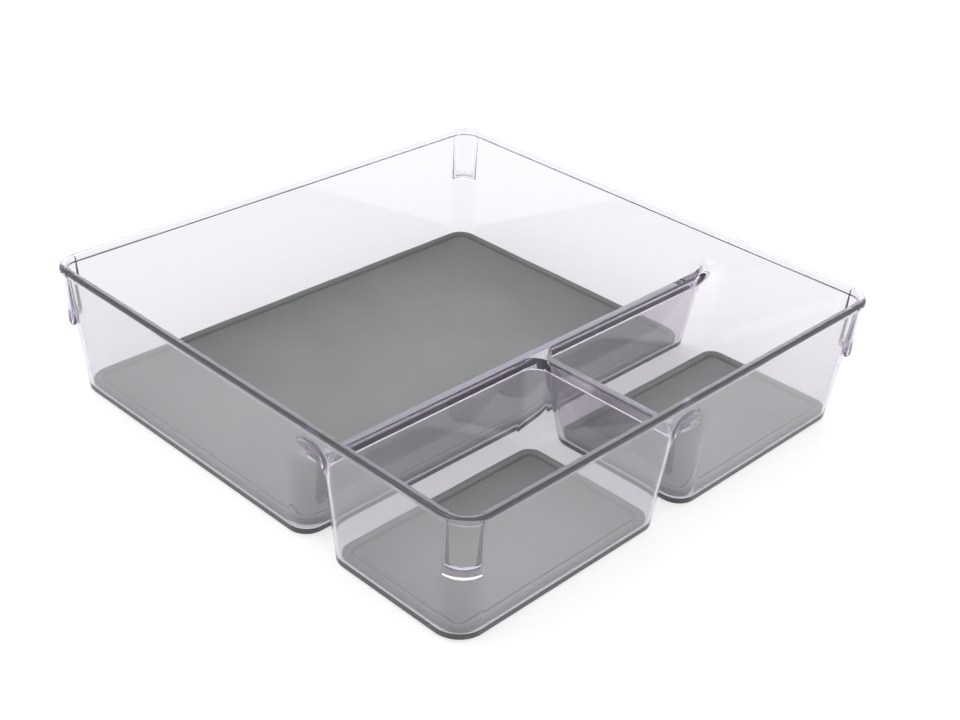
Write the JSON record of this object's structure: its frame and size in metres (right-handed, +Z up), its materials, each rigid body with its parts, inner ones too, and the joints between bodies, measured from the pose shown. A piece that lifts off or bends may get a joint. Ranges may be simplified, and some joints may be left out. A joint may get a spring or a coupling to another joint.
{
  "type": "drawer organizer insert",
  "caption": "Clear moulded square tray for a drawer, split into one large and two small pans by hollow dividers, with soft grey mats and rubber feet.",
  "frame": {"origin": "on the surface the feet stand on, under the middle of the tray", "axes": "+X across the tray from the left small pan to the right one, +Y from the two small pans to the large pan, +Z up"},
  "size_m": [0.228, 0.228, 0.055],
  "materials": {
    "clear_plastic": "clear, polished, faint violet-grey tint",
    "soft_mat": "soft satin grey, raised rounded border",
    "foot_rubber": "translucent matt"
  },
  "bodies": {
    "tray": {"tray": "clear_plastic", "foot_front_left": "foot_rubber", "foot_front_right": "foot_rubber", "foot_back_left": "foot_rubber", "foot_back_right": "foot_rubber"},
    "large_mat": {"large_mat": "soft_mat"},
    "left_mat": {"left_mat": "soft_mat"},
    "right_mat": {"right_mat": "soft_mat"}
  },
  "joints": [
    {"name": "large_mat_lift", "type": "slide", "parent": "tray", "child": "large_mat", "axis": [0, 0, 1], "range_m": [0, 0.07]},
    {"name": "left_mat_lift", "type": "slide", "parent": "tray", "child": "left_mat", "axis": [0, 0, 1], "range_m": [0, 0.07]},
    {"name": "right_mat_lift", "type": "slide", "parent": "tray", "child": "right_mat", "axis": [0, 0, 1], "range_m": [0, 0.07]}
  ]
}
